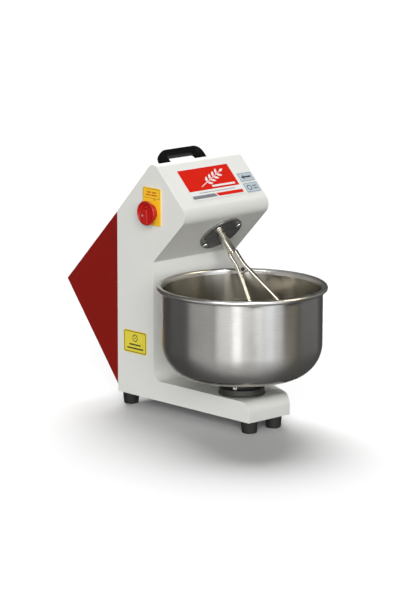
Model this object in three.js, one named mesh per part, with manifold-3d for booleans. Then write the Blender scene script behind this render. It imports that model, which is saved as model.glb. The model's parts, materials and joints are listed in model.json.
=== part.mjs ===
// Fork dough mixer. A folded sheet-metal body holds a slanted, belt-driven mixing fork in its head,
// and carries a free-turning bowl on a low leg that reaches forward on one side only.
// Millimetres, +Z up, front towards -Y. The origin is under the middle of the whole machine, on the floor.
import * as THREE from 'three';
import { mergeVertices } from 'three/addons/utils/BufferGeometryUtils.js';
import Module from 'manifold-3d';

const wasm = await Module();
wasm.setup();

// ---------------------------------------------------------------- driving dimensions
// In the body's own frame X is 0 at the middle of the head, u runs forward from the rear plane of the
// column (u = -Y there) and z runs up from the floor.
const GAP = 0.3;                 // clearance between pieces that touch
const SHEET = 2;                 // body sheet
const BASE_SHEET = 3;            // bottom plate
const WIDTH = 274;               // head and column, across X
const COLUMN_DEPTH = 126;
const BASE_Z = 28.4;             // underside of the body, on its rubber feet
const DECK_Z = 76;               // top of the front leg
const LEG_LENGTH = 453;
const LEG_TIP_X = -4;            // right-hand corner of the leg's front end
const THROAT_Z = 362;            // where the head's underside meets the column
const HEAD_RUN = 121;            // underside and front slope, both at 45 degrees
const REAR_TOP_Z = 469;          // where the rear slope meets the rear cover
const TIP_BACK = 184;            // rearmost edge of the rear cover
const TIP_Z = 279;
const COVER_FOOT_Z = 44;
const RADII = { apex: 20, nose: 27, throat: 6, deck: 26, front: 26 };
const SKIN_SPLIT_Z = THROAT_Z - 30;      // joint between the head skin and the column skin
const DECK_SPLIT_Z = DECK_Z + 60;        // joint between the column skin and the deck skin
const SILL_TOP_Z = COVER_FOOT_Z + 18;    // top of the base plate's folded rear edge

const BOWL_X = -75;
const BOWL_U = 365;
const BOWL_RIM_Z = 329.5;        // centre of the rolled rim
const BOWL_RADIUS = 188;         // outside of the wall
const BOWL_WALL = 1.8;
const BOWL_BOTTOM_Z = 117;
const BOWL_CORNER = 82;          // outside radius between wall and bottom
const RIM_TUBE = 6.2;            // radius of the rolled rim
const PLATE_RADIUS = 58;         // disc that carries the bowl
const PLATE_BOTTOM_Z = 94;
const BOWL_BOLT = { circle: 38, turn: 0.4, shank: 4, length: 14, head: 7, height: 4 };
const SET_SCREW = { turn: -2.6, up: 7, shank: 3.5, length: 10, head: 5.5, height: 3 };
const SPINDLE = { radius: 10, top: 107.5, bottom: BASE_Z + 4.5, collar: 16, collarTop: 36 };
const BOWL_BEARING = { inner: SPINDLE.radius + GAP, outer: 21, height: 12 };
const PEDESTAL = { radius: 55, tube: 27, bore: 14, top: PLATE_BOTTOM_Z - 1, bottom: 38 };

const ARM_X = 25;                // fork axis, to the right of the head's middle
const ARM_PLACE = 0.49;          // fork axis, as a share of the way up the underside
const SHAFT_RADIUS = 11;
const SHAFT_OUT = 60;            // bare shaft between the head and the fork
const PRONG_RADIUS = 5.3;
const PRONG_SPREAD = 8;          // prong centres from the axis, along the fork's neck
const PRONG_SLOPE = 0.205;       // how far the prongs open for each millimetre of length
const NECK_END = 100;
const PRONG_BEND = 300;          // distance from the head where the prongs start to close in
const FORK_REACH = 348;
const FORK_TURN = THREE.MathUtils.degToRad(45);

const FLANGE_RADIUS = 55.5;
const FLANGE_THICKNESS = 6;
const FLANGE_BOLT_CIRCLE = 46.5;
const FLANGE_BOLT = { shank: 4, head: 7.5, height: 5.5, length: 17 };
const TANG = { radius: 3.2, length: 32 };        // the shaft's spigot inside the fork's neck
const WEB = { halfWidth: PRONG_SPREAD, halfThickness: 4, end: 120 };
const FORK_BOLT = { depth: 112, shank: 2.5, length: 6, head: 5, height: 2.5 };
const HOUSING_RADIUS = 30;
const BEARING_OUTER = 24;
const BEARING_WIDTH = 14;
const HOUSING_END = 96;          // far end of the arm housing, up the fork axis

const LAYSHAFT_B = 130;          // shaft centres, measured down the rear slope from the fork axis
const MOTOR_B = 270;
const LOWER_BELT_A = 112;        // belt planes, measured up the fork axis from the underside
const UPPER_BELT_A = 142;
const ARM_PULLEY = 75;           // working radii of the four pulleys
const LAYSHAFT_SMALL = 22;
const LAYSHAFT_LARGE = 80;
const MOTOR_PULLEY = 24;
const BELT = { width: 10, height: 7 };
const PULLEY_CHEEK = 3;
const DRIVE_PLATE = { low: 76, high: 84, top: -60, bottom: 345, notch: 60, notchEnd: 60 };
const LAYSHAFT = { radius: 10, start: 38, bearing: 21, housing: 25, bore: 13, low: 40, high: 102 };
const MOTOR_RADIUS = 62;
const MOTOR_LENGTH = 150;
const MOTOR_SHAFT = 9;
const MOTOR_FINS = 12;
const TERMINAL_BOX = { out: 32, half: 28, below: 34, height: 56 };

const FOOT = { top: 20, bottom: 17.5, height: BASE_Z - GAP, stud: 4.5, nut: 8, nutHeight: 5 };
const FEET = {
  front_left: [-115, 432],
  front_right: [-37, 432],
  rear_left: [-115, 23],
  rear_right: [115, 23],
};

const HANDLE = { length: 134, height: 51, fromApex: 43, wide: 14, thick: 8.5, edge: 6, corner: 14 };
const HANDLE_SCREW = { shank: 3, length: 14, head: 6.5, height: 4 };

const SWITCH = { u: 124.5, z: 482, plateWidth: 60, plateBottom: 451.5, plateTop: 540.5, thickness: 3 };
const KNOB = { radius: 29.5, neck: 20, ring: 15, height: 20, bar: 23, recess: 24, depth: 8 };
const SWITCH_SPINDLE = 4;
const SWITCH_BOX = { half: 24, depth: 45 };

const LABEL_THICKNESS = 0.6;

const SMALL_SIDES = 10;          // facets round small holes and screw shanks

// ---------------------------------------------------------------- materials
const paint = (colour, roughness, metalness = 0) =>
  new THREE.MeshStandardMaterial({ color: colour, roughness, metalness });
const WHITE = paint(0xe4e5e0, 0.45);
const RED = paint(0x8c1610, 0.5);
const STEEL = paint(0xb9bab8, 0.3, 1);
const DARK_STEEL = paint(0x4a4a48, 0.45, 1);
const CAST = paint(0x55565a, 0.6, 0.6);
const RUBBER = paint(0x1b1b1a, 0.85);
const BLACK = paint(0x141414, 0.3);
const YELLOW = paint(0xf7b52b, 0.45);
const KNOB_RED = paint(0xc4201c, 0.35);
const LABEL = paint(0xe43426, 0.4);
const PALE = paint(0xb9c9d6, 0.4);
const MOTOR_BLUE = paint(0x3d5a78, 0.5);

// ---------------------------------------------------------------- solids and booleans
function toSolid(geometry) {
  const bare = geometry.clone();
  bare.deleteAttribute('normal');
  bare.deleteAttribute('uv');
  const merged = mergeVertices(bare, 1e-4);
  return new wasm.Manifold(new wasm.Mesh({
    numProp: 3,
    vertProperties: new Float32Array(merged.attributes.position.array),
    triVerts: new Uint32Array(merged.index.array),
  }));
}

function toGeometry(solid) {
  const mesh = solid.getMesh();
  const geometry = new THREE.BufferGeometry();
  geometry.setAttribute('position', new THREE.BufferAttribute(mesh.vertProperties, 3));
  geometry.setIndex(new THREE.BufferAttribute(mesh.triVerts, 1));
  geometry.computeVertexNormals();
  return geometry;
}

const cut = (geometry, ...tools) =>
  toGeometry(tools.reduce((solid, tool) => solid.subtract(toSolid(tool)), toSolid(geometry)));
const join = (geometry, ...others) =>
  toGeometry(others.reduce((solid, other) => solid.add(toSolid(other)), toSolid(geometry)));
const common = (geometry, tool) => toGeometry(toSolid(geometry).intersect(toSolid(tool)));

// ---------------------------------------------------------------- outlines
// Rounds the corners of a path. Each corner is [x, y] or [x, y, radius].
function rounded(corners, closed = true, steps = 6) {
  const count = corners.length;
  const points = [];
  corners.forEach(([x, y, radius = 0], i) => {
    const here = new THREE.Vector2(x, y);
    if (radius === 0 || (!closed && (i === 0 || i === count - 1))) {
      points.push(here);
      return;
    }
    const back = new THREE.Vector2(...corners[(i + count - 1) % count].slice(0, 2)).sub(here).normalize();
    const ahead = new THREE.Vector2(...corners[(i + 1) % count].slice(0, 2)).sub(here).normalize();
    const half = Math.acos(THREE.MathUtils.clamp(back.dot(ahead), -1, 1)) / 2;
    const middle = back.clone().add(ahead).normalize();
    const centre = here.clone().addScaledVector(middle, radius / Math.sin(half));
    const from = here.clone().addScaledVector(back, radius / Math.tan(half)).sub(centre);
    const to = here.clone().addScaledVector(ahead, radius / Math.tan(half)).sub(centre);
    const sweep = Math.atan2(from.cross(to), from.dot(to));
    for (let k = 0; k <= steps; k += 1) {
      points.push(from.clone().rotateAround(new THREE.Vector2(), (sweep * k) / steps).add(centre));
    }
  });
  return points;
}

// The path moved sideways by a distance, to the left of its direction of travel.
function offset(points, distance) {
  return points.map((point, i) => {
    const before = points[Math.max(i - 1, 0)];
    const after = points[Math.min(i + 1, points.length - 1)];
    const inward = point.clone().sub(before).normalize();
    const outward = after.clone().sub(point).normalize();
    if (i === 0) inward.copy(outward);
    if (i === points.length - 1) outward.copy(inward);
    const middle = inward.clone().add(outward).normalize();
    const reach = distance / middle.dot(inward);
    return new THREE.Vector2(point.x - middle.y * reach, point.y + middle.x * reach);
  });
}

// A strip of sheet whose outer face follows an open path.
function strip(points, thickness) {
  return [...points, ...offset(points, thickness).reverse()];
}

function circle(radius, sides, x = 0, y = 0) {
  return Array.from({ length: sides }, (_, i) => {
    const angle = (2 * Math.PI * i) / sides;
    return new THREE.Vector2(x + radius * Math.cos(angle), y + radius * Math.sin(angle));
  });
}

// ---------------------------------------------------------------- shapes
// Turns a drawing seen from the left side, x forward and y up, so that its own z points out to the left.
const SIDE_VIEW = new THREE.Matrix4().makeBasis(
  new THREE.Vector3(0, -1, 0), new THREE.Vector3(0, 0, 1), new THREE.Vector3(-1, 0, 0));

// A side outline in (u, z), extruded across X.
function across(points, x0, x1) {
  return new THREE.ExtrudeGeometry(new THREE.Shape(points), { depth: x1 - x0, bevelEnabled: false })
    .applyMatrix4(SIDE_VIEW).translate(x1, 0, 0);
}

// A plan outline in (X, u), extruded upwards.
function upright(points, z0, z1) {
  const shape = new THREE.Shape(points.map((p) => new THREE.Vector2(p.x, -p.y)));
  return new THREE.ExtrudeGeometry(shape, { depth: z1 - z0, bevelEnabled: false }).translate(0, 0, z0);
}

// An outline in its own plane, extruded along Z.
function slab(points, z0, z1, holes = []) {
  const shape = new THREE.Shape(points);
  shape.holes = holes.map((hole) => new THREE.Path(hole));
  return new THREE.ExtrudeGeometry(shape, { depth: z1 - z0, bevelEnabled: false }).translate(0, 0, z0);
}

function block(x0, x1, y0, y1, z0, z1) {
  return new THREE.BoxGeometry(x1 - x0, y1 - y0, z1 - z0)
    .translate((x0 + x1) / 2, (y0 + y1) / 2, (z0 + z1) / 2);
}

// A turned shape about Z. The profile is [radius, z] and runs anticlockwise in that plane.
function turned(profile, sides = 24) {
  const points = profile.map(([radius, z]) => new THREE.Vector2(radius, z));
  return new THREE.LatheGeometry(points, sides).rotateX(Math.PI / 2);
}

const rod = (radius, z0, z1, sides = 24) =>
  turned([[0, z0], [radius, z0], [radius, z1], [0, z1]], sides);
const ring = (inner, outer, z0, z1, sides = 24) =>
  turned([[inner, z0], [outer, z0], [outer, z1], [inner, z1], [inner, z0]], sides);

// A hexagon-headed screw: the head stands on z = 0 and the shank runs down from it.
function screw(shank, length, head, headHeight) {
  const cap = slab(circle(head, 6), 0, headHeight);
  return length > 0 ? join(cap, rod(shank, -length, 0.5, SMALL_SIDES)) : cap;
}

// ---------------------------------------------------------------- scene graph
const mixer = new THREE.Group();
const body = new THREE.Group();          // body frame: X, Y = -u, z
mixer.add(body);

function add(parent, name, geometry, material, place = {}) {
  const mesh = new THREE.Mesh(geometry, material);
  mesh.name = name;
  if (place.position) mesh.position.set(...place.position);
  if (place.rotation) mesh.rotation.set(...place.rotation);
  parent.add(mesh);
  return mesh;
}

// ---------------------------------------------------------------- body outline
const half = WIDTH / 2;
const apex = [COLUMN_DEPTH, THROAT_Z + 2 * HEAD_RUN];
const nose = [COLUMN_DEPTH + HEAD_RUN, THROAT_Z + HEAD_RUN];
const throat = [COLUMN_DEPTH, THROAT_Z];

// Rear slope as a direction, down and back from the apex, and its outward normal.
const rearSlope = new THREE.Vector2(-apex[0], REAR_TOP_Z - apex[1]).normalize();
const rearNormal = new THREE.Vector2(rearSlope.y, -rearSlope.x);

// Fork axis: its foot on the head's underside.
const armU = COLUMN_DEPTH + ARM_PLACE * HEAD_RUN;
const armZ = THROAT_Z + ARM_PLACE * HEAD_RUN;
const head = new THREE.Group();          // drive frame: x = X, y down the rear slope, z up the fork axis
head.position.set(ARM_X, -armU, armZ);
head.rotation.x = -Math.PI / 4;
body.add(head);

// A shape of the drive frame, moved to the body frame so that it can cut the body's sheets.
const fromHead = (geometry) => {
  head.updateMatrix();
  return geometry.clone().applyMatrix4(head.matrix);
};

const boltSpots = [0, 1, 2, 3].map((i) => Math.PI / 4 + (i * Math.PI) / 2)
  .map((angle) => [FLANGE_BOLT_CIRCLE * Math.cos(angle), FLANGE_BOLT_CIRCLE * Math.sin(angle)]);

// The leg's right edge in plan, (X, u): full width at the column, narrowing to the front end.
function legEdge(u, inset) {
  const run = new THREE.Vector2(LEG_TIP_X - half, LEG_LENGTH - COLUMN_DEPTH).normalize();
  return new THREE.Vector2(half + ((u - COLUMN_DEPTH) * run.x) / run.y - inset / run.y, u);
}

const legOutline = [[COLUMN_DEPTH, DECK_Z, RADII.deck], [LEG_LENGTH, DECK_Z, RADII.front],
  [LEG_LENGTH, BASE_Z]];
const headOutline = [[0, REAR_TOP_Z], [...apex, RADII.apex], [...nose, RADII.nose],
  [...throat, RADII.throat]];

// ---------------------------------------------------------------- body panels
function sidePanels() {
  const left = across(rounded([[0, BASE_Z], ...headOutline, ...legOutline]), -half, -half + SHEET);
  const hole = rod(9, -20, 20).rotateY(Math.PI / 2).translate(-half, -SWITCH.u, SWITCH.z);
  add(body, 'side_panel_left', cut(left, hole), WHITE);
  const right = across(rounded([[0, BASE_Z], ...headOutline, [COLUMN_DEPTH, BASE_Z]]), half - SHEET, half);
  add(body, 'side_panel_right', right, WHITE);

  const clear = 60;                        // past the fillet between deck and column
  const leg = across(rounded([[COLUMN_DEPTH - clear, BASE_Z], [COLUMN_DEPTH - clear, DECK_Z + clear],
    [COLUMN_DEPTH, DECK_Z + clear], ...legOutline]), -half, half);
  const backU = COLUMN_DEPTH + SHEET;
  const frontU = LEG_LENGTH - SHEET;
  const slanted = upright([legEdge(backU, 0), legEdge(frontU, 0), legEdge(frontU, SHEET),
    legEdge(backU, SHEET)], BASE_Z, DECK_Z + clear);
  add(body, 'leg_side_panel', common(slanted, leg), WHITE);
}

function skins() {
  const inner = half - SHEET - GAP;
  const headPath = rounded([...headOutline, [COLUMN_DEPTH, SKIN_SPLIT_Z + GAP]], false);
  const shaftHole = fromHead(rod(SHAFT_RADIUS + 6, -20, 20));
  const boltHoles = flangeBoltHoles().map(fromHead);
  const screwHoles = handleFeet().map(([x, u, z]) =>
    rod(HANDLE_SCREW.shank + GAP, -15, 15, SMALL_SIDES).rotateX(rearTilt()).translate(x, -u, z));
  add(body, 'head_skin',
    cut(across(strip(headPath, -SHEET), -inner, inner), shaftHole, ...boltHoles, ...screwHoles), WHITE);

  const columnPath = [SKIN_SPLIT_Z, DECK_SPLIT_Z + GAP].map((z) => new THREE.Vector2(COLUMN_DEPTH, z));
  add(body, 'column_skin', across(strip(columnPath, -SHEET), -inner, inner), WHITE);

  const deckPath = rounded([[COLUMN_DEPTH, DECK_SPLIT_Z], ...legOutline], false);
  const past = 10;
  const plan = [new THREE.Vector2(-inner, 0), new THREE.Vector2(inner, 0),
    legEdge(COLUMN_DEPTH, SHEET + GAP), legEdge(LEG_LENGTH + past, SHEET + GAP),
    new THREE.Vector2(-inner, LEG_LENGTH + past)];
  const hubHole = rod(PEDESTAL.tube + GAP, 0, THROAT_Z).translate(BOWL_X, -BOWL_U, 0);
  const deck = common(across(strip(deckPath, -SHEET), -inner, inner), upright(plan, 0, THROAT_Z));
  add(body, 'deck_skin', cut(deck, hubHole), WHITE);
}

function basePlate() {
  const inner = half - SHEET - GAP;
  const frontU = LEG_LENGTH - SHEET - GAP;
  const outline = [new THREE.Vector2(-inner, 0), new THREE.Vector2(inner, 0),
    legEdge(COLUMN_DEPTH, SHEET + GAP), legEdge(frontU, SHEET + GAP), new THREE.Vector2(-inner, frontU)];
  const studHoles = Object.values(FEET).map(([x, u]) =>
    rod(FOOT.stud + 1, 0, DECK_Z, SMALL_SIDES).translate(x, -u, 0));
  // The plate's rear edge is folded up into a sill that closes the foot of the column.
  const sill = across([new THREE.Vector2(0, BASE_Z), new THREE.Vector2(SHEET, BASE_Z),
    new THREE.Vector2(SHEET, SILL_TOP_Z), new THREE.Vector2(0, SILL_TOP_Z)], -inner, inner);
  const plate = join(upright(outline, BASE_Z, BASE_Z + BASE_SHEET), sill);
  add(body, 'base_plate', cut(plate, ...studHoles), WHITE);
}

function rearCover() {
  const outer = [[-GAP, REAR_TOP_Z - GAP], [-TIP_BACK, TIP_Z, 3], [-GAP, COVER_FOOT_Z]];
  const points = rounded(outer);
  const upper = new THREE.Vector2(TIP_BACK, REAR_TOP_Z - TIP_Z).normalize();
  const lower = new THREE.Vector2(TIP_BACK, COVER_FOOT_Z - TIP_Z).normalize();
  const tipInset = SHEET / Math.sin(Math.acos(upper.dot(lower)) / 2);
  const tipX = -TIP_BACK + tipInset;
  const reach = 30;                        // how far the hollow runs past the cover's open front
  const hollow = [new THREE.Vector2(tipX, TIP_Z),
    new THREE.Vector2(reach, TIP_Z + ((reach - tipX) * upper.y) / upper.x),
    new THREE.Vector2(reach, TIP_Z + ((reach - tipX) * lower.y) / lower.x)];
  add(body, 'rear_cover', cut(across(points, -half, half), across(hollow, -half + SHEET, half - SHEET)), RED);

  // Two screws fasten the cover's foot; they stand square to its lower face.
  const tilt = Math.atan2(lower.y, lower.x);
  const along = 0.93;
  const foot = [-TIP_BACK * (1 - along), TIP_Z + along * (COVER_FOOT_Z - TIP_Z)];
  for (const [side, x] of [['left', -100], ['right', 100]]) {
    add(body, `cover_screw_${side}`, screw(0, 0, 6, 3), STEEL, {
      position: [x, -foot[0] - GAP * Math.sin(tilt), foot[1] - GAP * Math.cos(tilt)],
      rotation: [Math.PI - tilt, 0, 0],
    });
  }
}

// ---------------------------------------------------------------- handle
const rearTilt = () => Math.atan2(rearNormal.x, rearNormal.y);

// Where the handle's two legs stand on the rear slope.
function handleFeet() {
  const u = apex[0] + rearSlope.x * HANDLE.fromApex;
  const z = apex[1] + rearSlope.y * HANDLE.fromApex;
  const reach = HANDLE.length / 2 - HANDLE.thick;
  return [[-reach, u, z], [reach, u, z]];
}

// A moulded bow with a flattened section, wider along the slope than it is thick.
function handle() {
  const { wide, thick, edge, corner } = HANDLE;
  const reach = HANDLE.length / 2 - thick;
  const top = HANDLE.height - thick;
  const path = rounded([[-reach, 0], [-reach, top, corner], [reach, top, corner], [reach, 0]], false, 5);
  const section = rounded([[-wide, -thick, edge], [wide, -thick, edge], [wide, thick, edge],
    [-wide, thick, edge]], true, 2);
  const bow = sweep(path.map((p) => new THREE.Vector3(p.x, 0, p.y)), section);
  const { shank, length, head: across6, height } = HANDLE_SCREW;
  const holes = [-reach, reach].map((x) => rod(shank + GAP, -1, length, SMALL_SIDES).translate(x, 0, 0));
  const [[, u, z]] = handleFeet();
  const stand = new THREE.Group();         // z stands square to the rear slope
  stand.position.set(0, -u - rearNormal.x * GAP, z + rearNormal.y * GAP);
  stand.rotation.x = rearTilt();
  body.add(stand);
  add(stand, 'carry_handle', cut(bow, ...holes), BLACK);
  [['left', -reach], ['right', reach]].forEach(([side, x]) => {
    add(stand, `handle_screw_${side}`, screw(shank, length, across6, height), STEEL, {
      position: [x, 0, -SHEET - 2 * GAP],
      rotation: [Math.PI, 0, 0],
    });
  });
}

// A bar of one section along a path of points, as one closed solid.
function sweep(points, section) {
  const curve = new THREE.CatmullRomCurve3(points, false, 'chordal');
  return new THREE.ExtrudeGeometry(new THREE.Shape(section), {
    steps: Math.ceil(points.length * 1.4), extrudePath: curve, bevelEnabled: false,
  });
}

// ---------------------------------------------------------------- feet
// Each foot is a rubber buffer with its threaded stud bonded in, and a nut on the stud.
function feet() {
  const profile = [[0, 0], [FOOT.bottom - 1, 0], [FOOT.bottom, 1], [FOOT.top, FOOT.height], [0, FOOT.height]];
  const nutZ = BASE_Z + BASE_SHEET + GAP;
  const stud = rod(FOOT.stud, FOOT.height - 1, nutZ + FOOT.nutHeight + 3, SMALL_SIDES);
  const nut = slab(circle(FOOT.nut, 6), nutZ, nutZ + FOOT.nutHeight);
  for (const [corner, [x, u]] of Object.entries(FEET)) {
    add(body, `foot_${corner}`, join(turned(profile, 20), stud, nut), RUBBER, { position: [x, -u, 0] });
  }
}

// ---------------------------------------------------------------- bowl and its bearing
const bowlFloorZ = BOWL_BOTTOM_Z + BOWL_WALL;
const bowlBoltSpots = [0, 1, 2].map((i) => ((i * 2) / 3) * Math.PI + BOWL_BOLT.turn)
  .map((angle) => [BOWL_BOLT.circle * Math.cos(angle), BOWL_BOLT.circle * Math.sin(angle)]);
const bowlBoltHoles = () => bowlBoltSpots.map(([x, y]) =>
  rod(BOWL_BOLT.shank + GAP, PLATE_BOTTOM_Z + 8, bowlFloorZ + 5, SMALL_SIDES).translate(x, y, 0));

// Half the bowl's section: up the outside, round the rolled rim and back down the inside.
function bowlProfile() {
  const inner = BOWL_RADIUS - BOWL_WALL;
  const cornerOut = rounded([[0, BOWL_BOTTOM_Z], [BOWL_RADIUS, BOWL_BOTTOM_Z, BOWL_CORNER],
    [BOWL_RADIUS, BOWL_RIM_Z - 3]], false, 7);
  const rimSteps = 7;
  const rimRadius = BOWL_RADIUS + RIM_TUBE - 0.4;
  const rim = Array.from({ length: rimSteps + 1 }, (_, i) => {
    const angle = THREE.MathUtils.degToRad(-150 + (i * 330) / rimSteps);
    return new THREE.Vector2(rimRadius + RIM_TUBE * Math.cos(angle), BOWL_RIM_Z + RIM_TUBE * Math.sin(angle));
  });
  const cornerIn = rounded([[0, bowlFloorZ], [inner, bowlFloorZ, BOWL_CORNER - BOWL_WALL],
    [inner, BOWL_RIM_Z - 6]], false, 7).reverse();
  return [...cornerOut.slice(0, -1), ...rim, ...cornerIn].map((p) => [p.x, p.y]);
}

const bowlSeat = new THREE.Group();      // z runs up the bowl's own axis
bowlSeat.position.set(BOWL_X, -BOWL_U, 0);
body.add(bowlSeat);

function bowl() {
  add(bowlSeat, 'bowl', cut(turned(bowlProfile(), 40), ...bowlBoltHoles()), STEEL);

  const plateTop = BOWL_BOTTOM_Z - GAP;
  const chamfer = 2;
  const plate = turned([[0, PLATE_BOTTOM_Z], [PLATE_RADIUS - chamfer, PLATE_BOTTOM_Z],
    [PLATE_RADIUS, PLATE_BOTTOM_Z + chamfer], [PLATE_RADIUS, plateTop], [0, plateTop]], 32);
  const keyZ = PLATE_BOTTOM_Z + SET_SCREW.up;
  const keyHole = rod(SET_SCREW.shank + GAP, PLATE_RADIUS - 14, PLATE_RADIUS + 5, SMALL_SIDES)
    .rotateY(Math.PI / 2).rotateZ(SET_SCREW.turn).translate(0, 0, keyZ);
  const spindleHole = rod(SPINDLE.radius + GAP, PLATE_BOTTOM_Z - 5, SPINDLE.top + 0.5);
  add(bowlSeat, 'bowl_plate', cut(plate, ...bowlBoltHoles(), keyHole, spindleHole), DARK_STEEL);
  bowlBoltSpots.forEach(([x, y], i) => {
    add(bowlSeat, `bowl_bolt_${i + 1}`,
      screw(BOWL_BOLT.shank, BOWL_BOLT.length, BOWL_BOLT.head, BOWL_BOLT.height), STEEL,
      { position: [x, y, bowlFloorZ + GAP] });
  });
  const keyReach = PLATE_RADIUS + GAP;
  add(bowlSeat, 'plate_set_screw',
    screw(SET_SCREW.shank, SET_SCREW.length, SET_SCREW.head, SET_SCREW.height), STEEL, {
      position: [keyReach * Math.cos(SET_SCREW.turn), keyReach * Math.sin(SET_SCREW.turn), keyZ],
      rotation: [0, Math.PI / 2, SET_SCREW.turn, 'ZYX'],
    });
}

// The spindle turns with the bowl, in two bearings inside the hub that stands on the deck.
function pedestal() {
  const { radius, bottom, top, collar, collarTop } = SPINDLE;
  add(bowlSeat, 'bowl_spindle', join(rod(radius, bottom, top), rod(collar, bottom, collarTop)), STEEL);

  const profileOut = [[0, PEDESTAL.bottom], [PEDESTAL.tube, PEDESTAL.bottom],
    [PEDESTAL.tube, DECK_Z + GAP], [PEDESTAL.radius, DECK_Z + GAP],
    [PEDESTAL.radius - 2, PEDESTAL.top], [0, PEDESTAL.top]];
  const bearingSeats = [PEDESTAL.bottom - 1, PEDESTAL.top - BOWL_BEARING.height - 1];
  const pockets = bearingSeats.map((z, i) =>
    rod(BOWL_BEARING.outer + GAP, z - (i === 0 ? 4 : 0), z + BOWL_BEARING.height + (i === 0 ? GAP : 9)));
  const bore = rod(PEDESTAL.bore, 0, THROAT_Z);
  add(bowlSeat, 'bowl_pedestal', cut(turned(profileOut, 28), bore, ...pockets), CAST);
  [['lower', PEDESTAL.bottom - 1], ['upper', PEDESTAL.top - BOWL_BEARING.height - 1 + GAP]]
    .forEach(([name, z]) => {
      add(bowlSeat, `bowl_bearing_${name}`,
        ring(BOWL_BEARING.inner, BOWL_BEARING.outer, z, z + BOWL_BEARING.height - GAP), STEEL);
    });
}

// ---------------------------------------------------------------- fork drive
const flangeBoltHoles = () => boltSpots.map(([x, y]) =>
  rod(FLANGE_BOLT.shank + GAP, -40, 40, SMALL_SIDES).translate(x, y, 0));

function flange() {
  const disc = turned([[0, -FLANGE_THICKNESS - GAP], [FLANGE_RADIUS - 1, -FLANGE_THICKNESS - GAP],
    [FLANGE_RADIUS, 1 - FLANGE_THICKNESS - GAP], [FLANGE_RADIUS, -GAP], [0, -GAP]], 32);
  add(head, 'arm_flange', cut(disc, rod(SHAFT_RADIUS + 1, -30, 30), ...flangeBoltHoles()), DARK_STEEL);
  boltSpots.forEach(([x, y], i) => {
    const { shank, length, head: across6, height } = FLANGE_BOLT;
    add(head, `flange_bolt_${i + 1}`, screw(shank, length, across6, height), STEEL, {
      position: [x, y, -FLANGE_THICKNESS - 2 * GAP],
      rotation: [Math.PI, 0, 0],
    });
  });
}

function armHousing() {
  const inside = SHEET + GAP;              // first free height behind the head skin
  const end = HOUSING_END;
  const bore = BEARING_OUTER + GAP;
  const throatRadius = SHAFT_RADIUS + 4;
  const frontSeat = inside + BEARING_WIDTH + 3;
  const rearSeat = end - BEARING_WIDTH - GAP;
  const collar = { radius: FLANGE_RADIUS - 2, top: inside + 8 };
  const holes = flangeBoltHoles();
  const tube = turned([[bore, inside], [collar.radius, inside], [collar.radius, collar.top],
    [HOUSING_RADIUS, collar.top], [HOUSING_RADIUS, end], [bore, end], [bore, rearSeat],
    [throatRadius, rearSeat], [throatRadius, frontSeat], [bore, frontSeat], [bore, inside]]);
  add(head, 'arm_housing', cut(tube, ...holes), CAST);
  add(head, 'arm_bearing_front',
    ring(SHAFT_RADIUS + GAP, BEARING_OUTER, inside + 2, inside + 2 + BEARING_WIDTH), STEEL);
  add(head, 'arm_bearing_rear',
    ring(SHAFT_RADIUS + GAP, BEARING_OUTER, end - BEARING_WIDTH, end), STEEL);
}

// Half the distance between the prongs, s millimetres down the fork axis from the head.
function halfSpread(s) {
  const free = THREE.MathUtils.clamp(s, NECK_END, PRONG_BEND) - NECK_END;
  const close = Math.max(s - PRONG_BEND, 0);
  const bend = FORK_REACH - PRONG_BEND;
  return PRONG_SPREAD + PRONG_SLOPE * (free + close - (close * close) / bend);
}

function shaftAndFork() {
  const shaft = turned([[0, -SHAFT_OUT - TANG.length], [TANG.radius, -SHAFT_OUT - TANG.length],
    [TANG.radius, -SHAFT_OUT], [SHAFT_RADIUS - 1, -SHAFT_OUT], [SHAFT_RADIUS, 1 - SHAFT_OUT],
    [SHAFT_RADIUS, LOWER_BELT_A + 14], [0, LOWER_BELT_A + 14]], 24);
  add(head, 'arm_shaft', shaft, STEEL);

  const neckStart = SHAFT_OUT + GAP;
  // The prongs are straight between these distances, and bend where they lie close together.
  const stops = [neckStart, 90, 100, 110, 160, 230, 290, 305, 320, 335, FORK_REACH];
  const prong = (side) =>
    sweep(stops.map((s) => new THREE.Vector3(side * halfSpread(s), 0, -s)), circle(PRONG_RADIUS, 8));
  const web = block(-WEB.halfWidth, WEB.halfWidth, -WEB.halfThickness, WEB.halfThickness,
    -WEB.end, -neckStart);
  const socket = rod(TANG.radius + GAP, -SHAFT_OUT - TANG.length - GAP, 0, 24);
  const { depth, shank, length, head: across6, height } = FORK_BOLT;
  const boltHole = rod(shank + GAP + 0.1, -6, 6, SMALL_SIDES).rotateX(Math.PI / 2).translate(0, 0, -depth);
  const fork = new THREE.Group();
  fork.rotation.z = -FORK_TURN;
  head.add(fork);
  add(fork, 'mixing_fork', cut(join(prong(-1), prong(1), web), socket, boltHole), STEEL);
  add(fork, 'fork_bolt', screw(shank, length, across6, height), DARK_STEEL, {
    position: [0, -WEB.halfThickness - GAP, -depth],
    rotation: [Math.PI / 2, 0, 0],
  });
}

function pulley(radius, bore, hub) {
  const bed = radius - BELT.height / 2;
  const rim = radius + BELT.height / 2 + 1;
  const inner = BELT.width / 2 + GAP;
  const outer = inner + PULLEY_CHEEK;
  return turned([[bore, -hub], [bore + 8, -hub], [bore + 8, -outer], [rim, -outer], [rim, -inner],
    [bed, -inner], [bed, inner], [rim, inner], [rim, outer], [bore + 8, outer], [bore, outer],
    [bore, -hub]], 24);
}

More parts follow.
